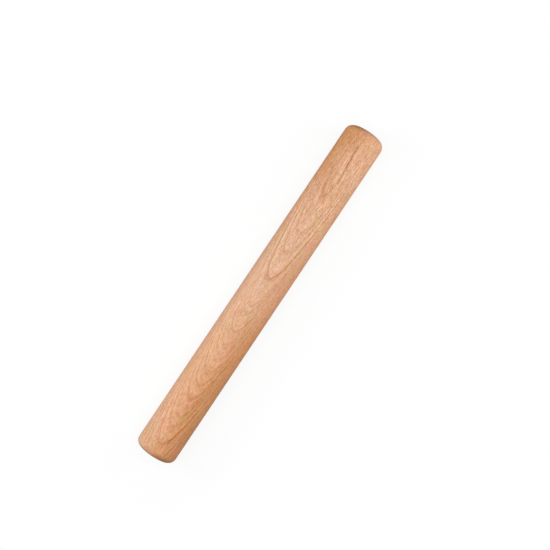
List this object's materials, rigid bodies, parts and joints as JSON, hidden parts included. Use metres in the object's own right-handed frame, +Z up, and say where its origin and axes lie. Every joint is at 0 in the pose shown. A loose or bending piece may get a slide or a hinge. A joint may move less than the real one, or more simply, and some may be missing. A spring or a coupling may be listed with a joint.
{
  "type": "french rolling pin",
  "caption": "Straight wooden rolling pin without handles: a plain turned cylinder with flat ends and rounded end edges.",
  "frame": {"origin": "on the surface the pin lies on, directly under the middle of its length", "axes": "+X along the pin's axis, +Z up, +Y across the pin"},
  "size_m": [0.4, 0.045, 0.045],
  "materials": {
    "beech": "fine-sanded bare beech with flat-sawn grain, matt, darkened a little by oil and use"
  },
  "bodies": {
    "root": {"rolling_pin": "beech"}
  },
  "joints": []
}
